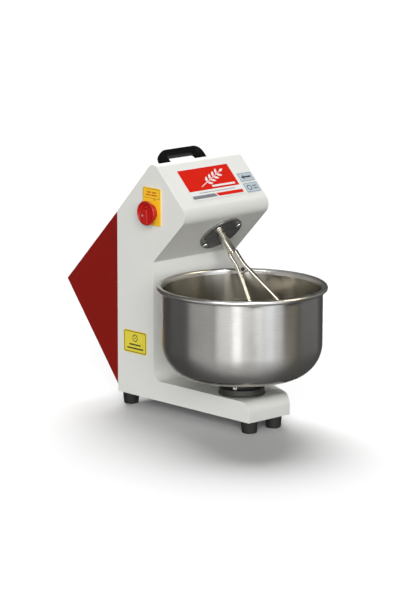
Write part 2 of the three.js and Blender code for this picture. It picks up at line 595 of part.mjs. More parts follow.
// A belt round two pulleys whose centres lie on the drive frame's y axis.
function belt(y0, radius0, y1, radius1) {
  const loop = (extra) => {
    const r0 = radius0 + extra;
    const r1 = radius1 + extra;
    const lean = Math.asin((r0 - r1) / (y1 - y0));
    const arc = (y, r, from, to, steps) => Array.from({ length: steps + 1 }, (_, i) => {
      const angle = from + ((to - from) * i) / steps;
      return new THREE.Vector2(r * Math.cos(angle), y + r * Math.sin(angle));
    });
    return [...arc(y0, r0, Math.PI - lean, 2 * Math.PI + lean, 24),
      ...arc(y1, r1, lean, Math.PI - lean, 16)];
  };
  const under = -BELT.height / 2 + GAP;
  const over = BELT.height / 2 + GAP;
  return slab(loop(over), -BELT.width / 2, BELT.width / 2, [loop(under)]);
}

function beltDrive() {
  const layshaftBore = LAYSHAFT.radius + GAP;
  add(head, 'arm_pulley', pulley(ARM_PULLEY, SHAFT_RADIUS + GAP, 10), CAST,
    { position: [0, 0, LOWER_BELT_A] });
  add(head, 'layshaft', rod(LAYSHAFT.radius, LAYSHAFT.start, UPPER_BELT_A + 11), STEEL,
    { position: [0, LAYSHAFT_B, 0] });
  add(head, 'layshaft_small_pulley', pulley(LAYSHAFT_SMALL, layshaftBore, 8.3), CAST,
    { position: [0, LAYSHAFT_B, LOWER_BELT_A] });
  add(head, 'layshaft_large_pulley', pulley(LAYSHAFT_LARGE, layshaftBore, 12), CAST,
    { position: [0, LAYSHAFT_B, UPPER_BELT_A] });
  add(head, 'lower_belt', belt(0, ARM_PULLEY, LAYSHAFT_B, LAYSHAFT_SMALL), RUBBER,
    { position: [0, 0, LOWER_BELT_A] });
  add(head, 'upper_belt', belt(LAYSHAFT_B, LAYSHAFT_LARGE, MOTOR_B, MOTOR_PULLEY), RUBBER,
    { position: [0, 0, UPPER_BELT_A] });
}

// A tube through the drive plate, with a bearing in each end.
function layshaftHousing() {
  const { low, high, bore, bearing, housing } = LAYSHAFT;
  const seat = bearing + GAP;
  const step = BEARING_WIDTH + GAP;
  const tube = turned([[bore, low + step], [seat, low + step], [seat, low], [housing, low], [housing, high],
    [seat, high], [seat, high - step], [bore, high - step], [bore, low + step]]);
  add(head, 'layshaft_housing', tube, CAST, { position: [0, LAYSHAFT_B, 0] });
  [['lower', low], ['upper', high - BEARING_WIDTH]].forEach(([name, z]) => {
    add(head, `layshaft_bearing_${name}`,
      ring(LAYSHAFT.radius + GAP, bearing, z, z + BEARING_WIDTH), STEEL, { position: [0, LAYSHAFT_B, 0] });
  });
}

// Carries the motor and both housings.
function drivePlate() {
  // The plate spans the body from side to side, and is cut back on the left to clear the main switch.
  const { low: plateLow, high: plateHigh, top, bottom, notch, notchEnd } = DRIVE_PLATE;
  const left = -half + SHEET + GAP - ARM_X;
  const right = half - SHEET - GAP - ARM_X;
  const outline = [[left + notch, top], [right, top], [right, bottom], [left, bottom], [left, notchEnd],
    [left + notch, notchEnd]].map(([x, y]) => new THREE.Vector2(x, y));
  const holes = [circle(HOUSING_RADIUS + 2 * GAP, 28), circle(LAYSHAFT.housing + 2 * GAP, 28, 0, LAYSHAFT_B),
    circle(2 * MOTOR_SHAFT + 2, 24, 0, MOTOR_B)];
  add(head, 'drive_plate', slab(outline, plateLow, plateHigh, holes), DARK_STEEL);
}

function motor() {
  const top = DRIVE_PLATE.low - GAP;
  const bottom = top - MOTOR_LENGTH;
  const core = rod(MOTOR_RADIUS - 5, bottom, top, 24);
  const ribs = Array.from({ length: MOTOR_FINS }, (_, i) =>
    block(MOTOR_RADIUS - 8, MOTOR_RADIUS, -1.5, 1.5, bottom + 8, top - 8)
      .rotateZ((2 * Math.PI * i) / MOTOR_FINS));
  const bore = rod(MOTOR_SHAFT + 1, top - 60, top + 1, 24);
  const place = { position: [0, MOTOR_B, 0] };
  const { out, half: boxHalf, below, height } = TERMINAL_BOX;
  const terminalBox = block(-MOTOR_RADIUS - out, 8 - MOTOR_RADIUS, -boxHalf, boxHalf,
    top - below - height, top - below);
  add(head, 'motor_body', cut(join(core, ...ribs, terminalBox), bore), MOTOR_BLUE, place);
  const cowl = turned([[0, bottom - 32], [MOTOR_RADIUS - 10, bottom - 32], [MOTOR_RADIUS - 2, bottom - 24],
    [MOTOR_RADIUS - 2, bottom - GAP], [MOTOR_RADIUS - 4, bottom - GAP], [MOTOR_RADIUS - 4, bottom - 23],
    [MOTOR_RADIUS - 11, bottom - 30], [0, bottom - 30]], 24);
  add(head, 'motor_fan_cowl', cowl, BLACK, place);
  add(head, 'motor_shaft', rod(MOTOR_SHAFT, top - 55, UPPER_BELT_A + 11, 24), STEEL, place);
  add(head, 'motor_pulley', pulley(MOTOR_PULLEY, MOTOR_SHAFT + GAP, 12), CAST,
    { position: [0, MOTOR_B, UPPER_BELT_A] });
}

// ---------------------------------------------------------------- main switch
function mainSwitch() {
  const panel = new THREE.Group();         // x forward, y up, z straight out of the left side panel
  panel.quaternion.setFromRotationMatrix(SIDE_VIEW);
  panel.position.set(-half, -SWITCH.u, SWITCH.z);
  body.add(panel);
  const w = SWITCH.plateWidth / 2;
  const y0 = SWITCH.plateBottom - SWITCH.z;
  const y1 = SWITCH.plateTop - SWITCH.z;
  const outline = rounded([[-w, y0, 4], [w, y0, 4], [w, y1, 4], [-w, y1, 4]], true, 4);
  const face = SWITCH.thickness + GAP;
  add(panel, 'switch_plate', slab(outline, GAP, face, [circle(6, 24)]), YELLOW);

  // The knob: a neck, a dished ring and a grip bar across the dish.
  const base = face + GAP;
  const top = base + KNOB.height;
  const { radius, neck, ring: ringLow, recess, depth } = KNOB;
  const dish = turned([[0, base], [neck, base], [neck, base + ringLow], [radius, base + ringLow],
    [radius, top - 2], [radius - 1, top], [recess + 1, top], [recess, top - depth], [0, top - depth]], 28);
  const bar = slab(rounded([[-10, -27, 4], [10, -27, 4], [8, 11, 4], [-8, 11, 4]], true, 3),
    top - depth - 1, base + KNOB.bar);
  const socket = rod(SWITCH_SPINDLE + GAP, base - 1, base + 8, 24);
  add(panel, 'switch_knob', cut(join(dish, bar), socket), KNOB_RED);
  add(panel, 'switch_spindle', rod(SWITCH_SPINDLE, -16, base + 7.5, 24), STEEL);
  const { half: boxHalf, depth: boxDepth } = SWITCH_BOX;
  const box = block(-boxHalf, boxHalf, -boxHalf, boxHalf, -SHEET - GAP - boxDepth, -SHEET - GAP);
  add(panel, 'switch_body', cut(box, rod(SWITCH_SPINDLE + 0.5, -18, 0, 24)), BLACK);
}

// ---------------------------------------------------------------- labels
function labels() {
  const slope = new THREE.Group();         // x along X, y up the front slope, z out of it
  slope.position.set(0, -apex[0], apex[1]);
  slope.rotation.x = Math.PI / 4;
  body.add(slope);
  const sticker = (parent, name, x0, x1, y0, y1, radius, material) => {
    const corners = [[x0, y0, radius], [x1, y0, radius], [x1, y1, radius], [x0, y1, radius]];
    const outline = rounded(corners, true, 3);
    add(parent, name, slab(outline, GAP, GAP + LABEL_THICKNESS), material);
  };
  sticker(slope, 'front_label', -89, 79, -128, -36, 2, LABEL);
  sticker(slope, 'rotation_sticker', 87, 131, -96, -71, 1.5, PALE);
  sticker(slope, 'rating_sticker', 87, 131, -128, -101, 1.5, PALE);

  const side = new THREE.Group();          // x forward, y up, z out of the left side panel
  side.quaternion.setFromRotationMatrix(SIDE_VIEW);
  side.position.set(-half, 0, 0);
  body.add(side);
  sticker(side, 'caution_sticker', 22, 103, 131, 186, 4, YELLOW);
}

sidePanels();
skins();
basePlate();
rearCover();
handle();
feet();
bowl();
pedestal();
flange();
armHousing();
shaftAndFork();
beltDrive();
layshaftHousing();
drivePlate();
motor();
mainSwitch();
labels();

// The origin goes to the middle of the footprint of the whole machine.
const rimReach = BOWL_RADIUS + 2 * RIM_TUBE - 0.4;
body.position.set(
  -(BOWL_X - rimReach + half) / 2,
  (BOWL_U + rimReach - TIP_BACK) / 2,
  0,
);

export default mixer;
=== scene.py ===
"""Finished look of the fork dough mixer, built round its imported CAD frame.

Each piece is drawn in millimetres in a drawing frame of its own, and placed in the row frame in metres.
The body's own frame has X at 0 in the middle of the head, u forward from the column's rear, z up.
"""

import json
import math

import bmesh
import bpy
from mathutils import Matrix, Vector


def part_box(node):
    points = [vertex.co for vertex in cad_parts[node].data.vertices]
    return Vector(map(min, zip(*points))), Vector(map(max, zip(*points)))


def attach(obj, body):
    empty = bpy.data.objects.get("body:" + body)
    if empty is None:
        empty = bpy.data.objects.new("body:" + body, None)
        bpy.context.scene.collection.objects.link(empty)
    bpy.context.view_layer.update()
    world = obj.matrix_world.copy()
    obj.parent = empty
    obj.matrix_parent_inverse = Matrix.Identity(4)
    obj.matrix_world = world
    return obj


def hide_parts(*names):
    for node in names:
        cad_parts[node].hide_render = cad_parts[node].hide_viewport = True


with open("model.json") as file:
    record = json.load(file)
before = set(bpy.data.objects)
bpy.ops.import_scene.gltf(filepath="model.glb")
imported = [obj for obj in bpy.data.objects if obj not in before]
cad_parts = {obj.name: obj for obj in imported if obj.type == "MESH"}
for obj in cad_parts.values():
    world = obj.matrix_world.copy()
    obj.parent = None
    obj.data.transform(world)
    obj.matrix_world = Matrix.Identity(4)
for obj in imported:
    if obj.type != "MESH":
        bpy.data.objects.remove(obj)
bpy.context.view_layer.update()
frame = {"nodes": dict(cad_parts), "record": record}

# ---------------------------------------------------------------- dimensions, in millimetres
MM = 0.001
GAP = 0.3
SHEET = 2.0
HALF = 137.0                     # half the width of head and column
COLUMN_DEPTH = 126.0
BASE_Z = 28.4
DECK_Z = 76.0
LEG_LENGTH = 453.0
LEG_TIP_X = -4.0
THROAT_Z = 362.0
HEAD_RUN = 121.0
REAR_TOP_Z = 469.0
TIP_BACK = 184.0
TIP_Z = 279.0
COVER_FOOT_Z = 44.0
RADII = {"apex": 20, "nose": 27, "throat": 6, "deck": 26, "front": 26, "tip": 3}
APEX = (COLUMN_DEPTH, THROAT_Z + 2 * HEAD_RUN)
NOSE = (COLUMN_DEPTH + HEAD_RUN, THROAT_Z + HEAD_RUN)
THROAT = (COLUMN_DEPTH, THROAT_Z)
EDGE = 2.2                       # rounding of the welded and ground sheet edges

BOWL_X, BOWL_U = -75.0, 365.0
BOWL_RADIUS = 188.0
BOWL_WALL = 1.8
BOWL_BOTTOM_Z = 117.0
BOWL_CORNER = 82.0
BOWL_RIM_Z = 329.5
RIM_TUBE = 6.1
PLATE_RADIUS = 58.0
PLATE_BOTTOM_Z = 94.0
BOWL_BOLT = {"circle": 38, "turn": 0.4, "head": 7, "height": 4, "shank": 4, "length": 14}
SET_SCREW = {"turn": -2.6, "up": 7, "head": 5.5, "height": 3, "shank": 3.5, "length": 10}
HUB = {"radius": 55, "tube": 27, "bore": 14, "pocket": 21.3, "bottom": 38, "lower_pocket": 11.3,
       "upper_pocket": 13}

ARM_X = 25.0
ARM_PLACE = 0.49
SHAFT_RADIUS = 11.0
SHAFT_OUT = 60.0
SHAFT_TOP = 126.0
PRONG_RADIUS = 5.3
PRONG_SPREAD = 8.0
PRONG_SLOPE = 0.205
NECK_END = 100.0
PRONG_BEND = 300.0
FORK_REACH = 348.0
FORK_TURN = math.radians(-45)
FLANGE_RADIUS = 55.5
FLANGE_THICKNESS = 6.0
FLANGE_BOLT = {"circle": 46.5, "head": 7.5, "height": 5.5, "shank": 4, "length": 17}
FORK_BOLT = {"depth": 112, "head": 5, "height": 2.5, "shank": 2.5, "length": 6}
WEB = {"thick": 4, "side_end": 117, "middle_end": 120}          # plate between the prongs at the neck

FOOT = {"top": 20.0, "bottom": 17.5, "height": BASE_Z - GAP, "stud": 4.5}
FOOT_SPOTS = {"front_left": (-115, 432), "front_right": (-37, 432), "rear_left": (-115, 23),
              "rear_right": (115, 23)}
HANDLE = {"length": 134.0, "height": 50.6, "from_apex": 43.0, "wide": 14.0, "thick": 8.5, "corner": 14.0,
          "flare": 1.5}
SWITCH = {"u": 124.5, "z": 482.0, "half": 30.0, "bottom": 451.5, "top": 540.5, "thick": 3.0}
KNOB = {"radius": 29.5, "neck": 20.0, "ring": 15.0, "height": 20.0, "bar": 23.0, "recess": 24.0}

BODY_ORIGIN = Vector((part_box("side_panel_left")[0].x + HALF * MM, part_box("base_plate")[1].y, 0.0))


def spot(x, u, z):
    """A point of the body's own frame, in the row frame."""
    return BODY_ORIGIN + Vector((x, -u, z)) * MM


# ---------------------------------------------------------------- drawing frames
def axes(origin, x, y):
    """A right-handed drawing frame from its origin and the directions of its x and y."""
    x, y = Vector(x).normalized(), Vector(y).normalized()
    turn = Matrix((x, y, x.cross(y))).transposed().to_4x4()
    return Matrix.Translation(origin) @ turn


REAR_SLOPE = Vector((-APEX[0], REAR_TOP_Z - APEX[1])).normalized()     # (u, z), down and back
REAR_NORMAL = Vector((REAR_SLOPE.y, -REAR_SLOPE.x))
ARM_FOOT = spot(ARM_X, COLUMN_DEPTH + ARM_PLACE * HEAD_RUN, THROAT_Z + ARM_PLACE * HEAD_RUN)

SIDE = axes(spot(0, 0, 0), (0, -1, 0), (0, 0, 1))                      # x forward, y up, z to the left
PANEL = axes(spot(-HALF, 0, 0), (0, -1, 0), (0, 0, 1))                 # the same, on the left panel's face
BOWL = axes(spot(BOWL_X, BOWL_U, 0), (1, 0, 0), (0, 1, 0))
DRIVE = axes(ARM_FOOT, (1, 0, 0), (0, 1, -1))                          # z up the fork axis
FORK = DRIVE @ Matrix.Rotation(FORK_TURN, 4, "Z")
FRONT_SLOPE = axes(spot(0, *APEX), (1, 0, 0), (0, 1, 1))               # x across, y up, z out of the slope
SWITCH_AXIS = axes(spot(-HALF, SWITCH["u"], SWITCH["z"]), (0, -1, 0), (0, 0, 1))


def handle_frame():
    """x across, y down the rear slope, z square out of it; the origin is between the handle's feet."""
    foot = Vector(APEX) + REAR_SLOPE * HANDLE["from_apex"] + REAR_NORMAL * GAP
    return axes(spot(0, foot.x, foot.y), (1, 0, 0), (0, -REAR_SLOPE.x, REAR_SLOPE.y))


# ---------------------------------------------------------------- outlines
def rounded(corners, closed=True, steps=10):
    """Rounds the corners of a path. Each corner is (x, y) or (x, y, radius)."""
    points = []
    count = len(corners)
    for i, corner in enumerate(corners):
        here = Vector(corner[:2])
        radius = corner[2] if len(corner) > 2 else 0
        if not radius or (not closed and i in (0, count - 1)):
            points.append(here)
            continue
        back = (Vector(corners[i - 1][:2]) - here).normalized()
        ahead = (Vector(corners[(i + 1) % count][:2]) - here).normalized()
        half = back.angle(ahead) / 2
        centre = here + (back + ahead).normalized() * radius / math.sin(half)
        start = here + back * radius / math.tan(half) - centre
        end = here + ahead * radius / math.tan(half) - centre
        sweep = math.atan2(start.x * end.y - start.y * end.x, start.dot(end))
        points += [centre + Matrix.Rotation(sweep * k / steps, 2) @ start for k in range(steps + 1)]
    return points


def circle(radius, sides=48, x=0.0, y=0.0):
    angles = [2 * math.pi * i / sides for i in range(sides)]
    return [Vector((x + radius * math.cos(a), y + radius * math.sin(a))) for a in angles]


def box_outline(x0, x1, y0, y1, radius=0.0, steps=5):
    return rounded([(x0, y0, radius), (x1, y0, radius), (x1, y1, radius), (x0, y1, radius)], steps=steps)


def cylinder(radius, low, high):
    """The profile of a plain cylinder, for turning."""
    return [(0, low), (radius, low), (radius, high), (0, high)]


# ---------------------------------------------------------------- meshes
def as_drawn(x, y, height):
    return x, y, height


def to_mesh(work, name):
    """Turns a bmesh drawn in millimetres into a mesh in metres, with its faces pointing out."""
    bmesh.ops.remove_doubles(work, verts=work.verts, dist=1e-4)
    bmesh.ops.recalc_face_normals(work, faces=work.faces)
    bmesh.ops.scale(work, vec=(MM, MM, MM), verts=work.verts)
    mesh = bpy.data.meshes.new(name)
    work.to_mesh(mesh)
    work.free()
    mesh.shade_smooth()
    return mesh


def add_prism(work, outline, low, high, turn=as_drawn, material=0):
    """An outline extruded between two heights. turn maps outline x, outline y and height to x, y, z."""
    rings = [[work.verts.new(turn(p[0], p[1], h)) for p in outline] for h in (low, high)]
    count = len(outline)
    faces = [work.faces.new(rings[0][::-1]), work.faces.new(rings[1])]
    for i in range(count):
        j = (i + 1) % count
        faces.append(work.faces.new((rings[0][i], rings[0][j], rings[1][j], rings[1][i])))
    for face in faces:
        face.material_index = material


def add_rings(work, rings):
    """Joins rings of points, each the same length, into a tube with closed ends."""
    made = [[work.verts.new(p) for p in ring] for ring in rings]
    count = len(rings[0])
    for a, b in zip(made, made[1:]):
        for i in range(count):
            j = (i + 1) % count
            work.faces.new((a[i], a[j], b[j], b[i]))
    work.faces.new(made[0][::-1])
    work.faces.new(made[-1])


def add_turned(work, profile, sides=96):
    """A shape turned about z from a profile of (radius, z) points that starts and ends on the axis,
    or closes on itself."""
    rings = []
    for radius, z in profile:
        if radius < 1e-6:
            rings.append([work.verts.new((0, 0, z))])
        else:
            rings.append([work.verts.new((p.x, p.y, z)) for p in circle(radius, sides)])
    for a, b in zip(rings, rings[1:]):
        for i in range(sides):
            j = (i + 1) % sides
            corners = [a[i % len(a)], a[j % len(a)], b[j % len(b)], b[i % len(b)]]
            unique = list(dict.fromkeys(corners))
            if len(unique) > 2:
                work.faces.new(unique)


def prism(name, outline, low, high, turn=as_drawn):
    work = bmesh.new()
    add_prism(work, outline, low, high, turn)
    return to_mesh(work, name)


def turned(name, profile, sides=96):
    work = bmesh.new()
    add_turned(work, profile, sides)
    return to_mesh(work, name)


# ---------------------------------------------------------------- pieces
def place(name, mesh, drawing_frame):
    obj = bpy.data.objects.new(name, mesh)
    bpy.context.scene.collection.objects.link(obj)
    obj.matrix_world = drawing_frame
    return obj


def piece(obj, slot, nodes, body="machine", extra=()):
    """Gives a piece its material if it has none and the body it rides on, and hides the CAD nodes it stands
    for.
    """
    if not obj.data.materials:
        obj.data.materials.append(MATERIALS[slot])
    for name in extra:
        obj.data.materials.append(MATERIALS[name])
    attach(obj, body)
    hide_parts(*nodes)
    return obj


def settle(obj):
    """Applies an object's modifiers to its mesh."""
    bpy.context.view_layer.update()
    graph = bpy.context.evaluated_depsgraph_get()
    mesh = bpy.data.meshes.new_from_object(obj.evaluated_get(graph))
    obj.modifiers.clear()
    obj.data = mesh


def cut(obj, mesh):
    """Cuts a closed mesh, drawn in the object's own frame, out of it."""
    tool = place("cutter", mesh, obj.matrix_world)
    modifier = obj.modifiers.new("cut", "BOOLEAN")
    modifier.operation = "DIFFERENCE"
    modifier.solver = "EXACT"
    modifier.object = tool
    settle(obj)
    bpy.data.objects.remove(tool)


def bevel(obj, width, segments=3, angle=35.0):
    modifier = obj.modifiers.new("rounded edges", "BEVEL")
    modifier.width = width * MM
    modifier.segments = segments
    modifier.limit_method = "ANGLE"
    modifier.angle_limit = math.radians(angle)
    modifier.use_clamp_overlap = True


def hollow(obj, thickness):
    modifier = obj.modifiers.new("sheet", "SOLIDIFY")
    modifier.thickness = thickness * MM
    modifier.offset = -1
    modifier.use_even_offset = True


def soften(obj):
    """Keeps flat faces flat and shades rounded edges smoothly."""
    modifier = obj.modifiers.new("shading", "WEIGHTED_NORMAL")
    modifier.weight = 80
    modifier.keep_sharp = True


def remove_faces(obj, test):
    work = bmesh.new()
    work.from_mesh(obj.data)
    bmesh.ops.delete(work, geom=[f for f in work.faces if test(f)], context="FACES")
    work.to_mesh(obj.data)
    work.free()


# ---------------------------------------------------------------- materials
def link(tree, source, target):
    tree.links.new(source, target)


def total(tree, a, b):
    node = tree.nodes.new("ShaderNodeMath")
    node.operation = "ADD"
    link(tree, a, node.inputs[0])
    link(tree, b, node.inputs[1])
    return node.outputs[0]


def noise(tree, where, scale, stretch=(1, 1, 1), detail=4.0, roughness=0.5):
    """A noise pattern in the object's own coordinates; stretch squeezes it along each axis."""
    mapping = tree.nodes.new("ShaderNodeMapping")
    mapping.inputs["Scale"].default_value = stretch
    link(tree, where, mapping.inputs["Vector"])
    node = tree.nodes.new("ShaderNodeTexNoise")
    node.inputs["Scale"].default_value = scale
    node.inputs["Detail"].default_value = detail
    node.inputs["Roughness"].default_value = roughness
    link(tree, mapping.outputs[0], node.inputs["Vector"])
    return node.outputs["Fac"]


def spread(tree, value, low, high, start=0.3, end=0.7):
    node = tree.nodes.new("ShaderNodeMapRange")
    node.inputs["From Min"].default_value = start
    node.inputs["From Max"].default_value = end
    node.inputs["To Min"].default_value = low
    node.inputs["To Max"].default_value = high
    link(tree, value, node.inputs["Value"])
    return node.outputs[0]


def blend_colours(tree, factor, a, b):
    node = tree.nodes.new("ShaderNodeMix")
    node.data_type = "RGBA"
    node.inputs[6].default_value = (*a, 1)
    node.inputs[7].default_value = (*b, 1)
    link(tree, factor, node.inputs[0])
    return node.outputs[2]


def finish_of(name, colour, second, roughness, metallic=0.0, patch=9.0, grain=700.0,
              grain_stretch=(1, 1, 1), grain_height=0.02, grain_detail=3.0, specular=0.5,
              anisotropy=0.0, streaks=0.0):
    """A surface whose colour and roughness wander between two values, with a fine grain in relief."""
    material = bpy.data.materials.new(name)
    material.use_nodes = True
    tree = material.node_tree
    shader = tree.nodes["Principled BSDF"]
    where = tree.nodes.new("ShaderNodeTexCoord").outputs["Object"]
    cloud = noise(tree, where, patch, detail=5.0, roughness=0.6)
    fine = noise(tree, where, grain, grain_stretch, detail=grain_detail, roughness=0.65)
    shade = spread(tree, cloud, 0.0, 1.0 - streaks)
    if streaks:
        shade = total(tree, shade, spread(tree, fine, 0.0, streaks))
    link(tree, blend_colours(tree, shade, colour, second), shader.inputs["Base Color"])
    low, high = roughness
    rough = spread(tree, cloud, low, high)
    rough = total(tree, rough, spread(tree, fine, -0.02, 0.02))
    link(tree, rough, shader.inputs["Roughness"])
    bump = tree.nodes.new("ShaderNodeBump")
    bump.inputs["Strength"].default_value = 1.0
    bump.inputs["Distance"].default_value = grain_height * MM
    link(tree, fine, bump.inputs["Height"])
    link(tree, bump.outputs[0], shader.inputs["Normal"])
    shader.inputs["Metallic"].default_value = metallic
    shader.inputs["Specular IOR Level"].default_value = specular
    if anisotropy:
        shader.inputs["Anisotropic"].default_value = anisotropy
        shader.inputs["Anisotropic Rotation"].default_value = 0.25
        direction = tree.nodes.new("ShaderNodeTangent")
        direction.direction_type = "RADIAL"
        direction.axis = "Z"
        link(tree, direction.outputs[0], shader.inputs["Tangent"])
    return material


MATERIALS = {
    "body_paint": finish_of("body_paint", (0.80, 0.805, 0.765), (0.77, 0.775, 0.735), (0.34, 0.42),
                            grain=420, grain_height=0.03, specular=0.4),
    "cover_paint": finish_of("cover_paint", (0.26, 0.007, 0.004), (0.23, 0.006, 0.003), (0.42, 0.52),
                             grain=420, grain_height=0.03, specular=0.25),
    "stainless": finish_of("stainless", (0.66, 0.65, 0.625), (0.50, 0.49, 0.47), (0.29, 0.37),
                           metallic=1.0, grain=60, grain_stretch=(0.5, 0.5, 30), grain_height=0.014,
                           anisotropy=0.85, streaks=0.7),
    # The bowl's inside is a darker, warmer copy of the stainless: painted shade and a painted warm reflection
    # inside the bowl.
    "inside_steel_shade_and_reflection": finish_of("inside_steel_shade_and_reflection", (0.48, 0.455, 0.395), (0.33, 0.312, 0.27), (0.18, 0.25),
                                  metallic=1.0, grain=60, grain_stretch=(0.5, 0.5, 30), grain_height=0.01,
                                  anisotropy=0.8, streaks=0.6),
    "rim_steel": finish_of("rim_steel", (0.72, 0.71, 0.69), (0.64, 0.63, 0.61), (0.26, 0.34),
                           metallic=1.0, grain=60, grain_stretch=(0.5, 0.5, 30), grain_height=0.004),
    # The bar steel's colour, with a yellow tint that is a painted warm reflection on the shaft and prongs.
    "bar_steel_and_warm_reflection": finish_of("bar_steel_and_warm_reflection", (0.70, 0.67, 0.60), (0.60, 0.565, 0.49), (0.17, 0.24),
                           metallic=1.0, grain=60, grain_stretch=(6, 6, 1), grain_height=0.003,
                           streaks=0.4),
    # A dark copy of the steel for the web between the prongs: painted shade between them.
    "web_steel_painted_shade": finish_of("web_steel_painted_shade", (0.24, 0.23, 0.205), (0.18, 0.172, 0.155), (0.3, 0.4),
                           metallic=0.9, grain=60, grain_stretch=(6, 6, 1), grain_height=0.003),
    "bright_steel": finish_of("bright_steel", (0.68, 0.68, 0.67), (0.60, 0.60, 0.60), (0.2, 0.3),
                              metallic=1.0, grain=900),
    "bearing_steel": finish_of("bearing_steel", (0.62, 0.63, 0.64), (0.54, 0.55, 0.56), (0.12, 0.2),
                               metallic=1.0, grain=1200),
    "dark_steel": finish_of("dark_steel", (0.30, 0.30, 0.285), (0.24, 0.24, 0.23), (0.22, 0.30),
                            metallic=0.8, grain=500, grain_height=0.004),
    # A near-black copy of the dark steel: painted shade on the disc under the bowl and on the neck bolt in
    # the fork's crotch.
    "black_steel_painted_shade": finish_of("black_steel_painted_shade", (0.03, 0.029, 0.026), (0.02, 0.019, 0.018), (0.25, 0.35),
                             metallic=0.8, grain=500, grain_height=0.004),
    "castings": finish_of("castings", (0.16, 0.155, 0.14), (0.11, 0.108, 0.10), (0.45, 0.6),
                          metallic=0.6, grain=700, grain_height=0.08),
    # A near-black copy of the castings: painted shade on the hub under the bowl.
    "black_iron_painted_shade": finish_of("black_iron_painted_shade", (0.075, 0.073, 0.066), (0.05, 0.049, 0.044), (0.4, 0.55),
                            metallic=0.5, grain=700, grain_height=0.05),
    "foot_rubber": finish_of("foot_rubber", (0.012, 0.012, 0.011), (0.02, 0.02, 0.018), (0.5, 0.7),
                             grain=900, grain_height=0.06),
    "belt_rubber": finish_of("belt_rubber", (0.014, 0.014, 0.014), (0.022, 0.022, 0.021), (0.6, 0.75),
                             grain=900, grain_height=0.06),
    "handle_plastic": finish_of("handle_plastic", (0.006, 0.006, 0.006), (0.009, 0.009, 0.009),
                                (0.12, 0.18), grain=900, grain_height=0.004, specular=0.03),
    "black_plastic": finish_of("black_plastic", (0.014, 0.014, 0.014), (0.02, 0.02, 0.02), (0.4, 0.5),
                               grain=900, grain_height=0.04),
    "motor_paint": finish_of("motor_paint", (0.045, 0.10, 0.18), (0.035, 0.08, 0.15), (0.35, 0.5),
                             grain=600, grain_height=0.05),
    "switch_yellow": finish_of("switch_yellow", (0.98, 0.60, 0.025), (0.95, 0.56, 0.022), (0.3, 0.38),
                               grain=900, grain_height=0.01),
    "switch_red": finish_of("switch_red", (0.52, 0.012, 0.008), (0.46, 0.010, 0.007), (0.26, 0.36),
                            grain=900, grain_height=0.01),
    "label_red": finish_of("label_red", (0.68, 0.018, 0.008), (0.64, 0.016, 0.007), (0.3, 0.38),
                           grain=900, grain_height=0.004, specular=0.08),
    "sticker_pale": finish_of("sticker_pale", (0.52, 0.60, 0.65), (0.49, 0.57, 0.62), (0.25, 0.33),
                              grain=900, grain_height=0.004),
    "sticker_yellow": finish_of("sticker_yellow", (0.86, 0.73, 0.07), (0.82, 0.69, 0.065), (0.25, 0.33),
                                grain=900, grain_height=0.004),
    "print_white": finish_of("print_white", (0.83, 0.83, 0.82), (0.79, 0.79, 0.78), (0.25, 0.33),
                             grain=900, grain_height=0.004),
    "print_grey": finish_of("print_grey", (0.22, 0.23, 0.25), (0.20, 0.21, 0.23), (0.25, 0.33),
                            grain=900, grain_height=0.004),
    "print_black": finish_of("print_black", (0.02, 0.02, 0.02), (0.03, 0.03, 0.03), (0.25, 0.33),
                             grain=900, grain_height=0.004),
    "print_rust": finish_of("print_rust", (0.62, 0.14, 0.012), (0.57, 0.125, 0.01), (0.25, 0.33),
                            grain=900, grain_height=0.004),
    "print_brown": finish_of("print_brown", (0.30, 0.13, 0.01), (0.26, 0.11, 0.01), (0.25, 0.33),
                             grain=900, grain_height=0.004),
}


# ---------------------------------------------------------------- body shell and rear cover
def body_shell():
    """Head, column and leg: one sheet-metal shell, welded from six panels and ground smooth at the edges."""
    outline = rounded([(0, BASE_Z), (0, REAR_TOP_Z), (*APEX, RADII["apex"]), (*NOSE, RADII["nose"]),
                       (*THROAT, RADII["throat"]), (COLUMN_DEPTH, DECK_Z, RADII["deck"]),
                       (LEG_LENGTH, DECK_Z, RADII["front"]), (LEG_LENGTH, BASE_Z)])
    shell = place("body_shell", prism("body_shell", outline, -HALF, HALF), SIDE)
    past, outside, above = 1.2, HALF + 50, DECK_Z + 60       # how far the cutting wedge runs past the leg
    far_x = HALF + (LEG_TIP_X - HALF) * past
    far_u = COLUMN_DEPTH + (LEG_LENGTH - COLUMN_DEPTH) * past
    wedge = [(HALF, COLUMN_DEPTH), (far_x, far_u), (outside, far_u), (outside, COLUMN_DEPTH)]
    cut(shell, prism("wedge", wedge, 0, above, lambda x, u, z: (u, z, -x)))
    remove_faces(shell, lambda f: f.normal.y < -0.99 and f.calc_center_median().y < (BASE_Z + 1) * MM)
    remove_faces(shell, lambda f: f.normal.x < -0.99 and f.calc_center_median().x < MM)
    bevel(shell, EDGE)
    hollow(shell, SHEET)
    settle(shell)
    reach = 20                                               # how far a cutter stands out on each side
    hub_hole = circle(HUB["tube"] + GAP, 48, BOWL_U, -BOWL_X)
    cut(shell, prism("hub_hole", hub_hole, DECK_Z - reach, DECK_Z + reach, lambda u, x, z: (u, z, x)))
    shaft_hole = turned("shaft_hole", cylinder(SHAFT_RADIUS + 6, -reach, reach), 48)
    shaft_hole.transform(shell.matrix_world.inverted() @ DRIVE)
    cut(shell, shaft_hole)
    soften(shell)
    piece(shell, "body_paint", ["side_panel_left", "side_panel_right", "leg_side_panel", "head_skin",
                                "column_skin", "deck_skin"])


def rear_cover():
    outline = rounded([(-GAP, REAR_TOP_Z - GAP), (-TIP_BACK, TIP_Z, RADII["tip"]), (-GAP, COVER_FOOT_Z)])
    cover = place("rear_cover_shell", prism("rear_cover_shell", outline, -HALF, HALF), SIDE)
    remove_faces(cover, lambda f: f.normal.x > 0.99)
    bevel(cover, EDGE)
    hollow(cover, SHEET)
    settle(cover)
    soften(cover)
    piece(cover, "cover_paint", ["rear_cover"])


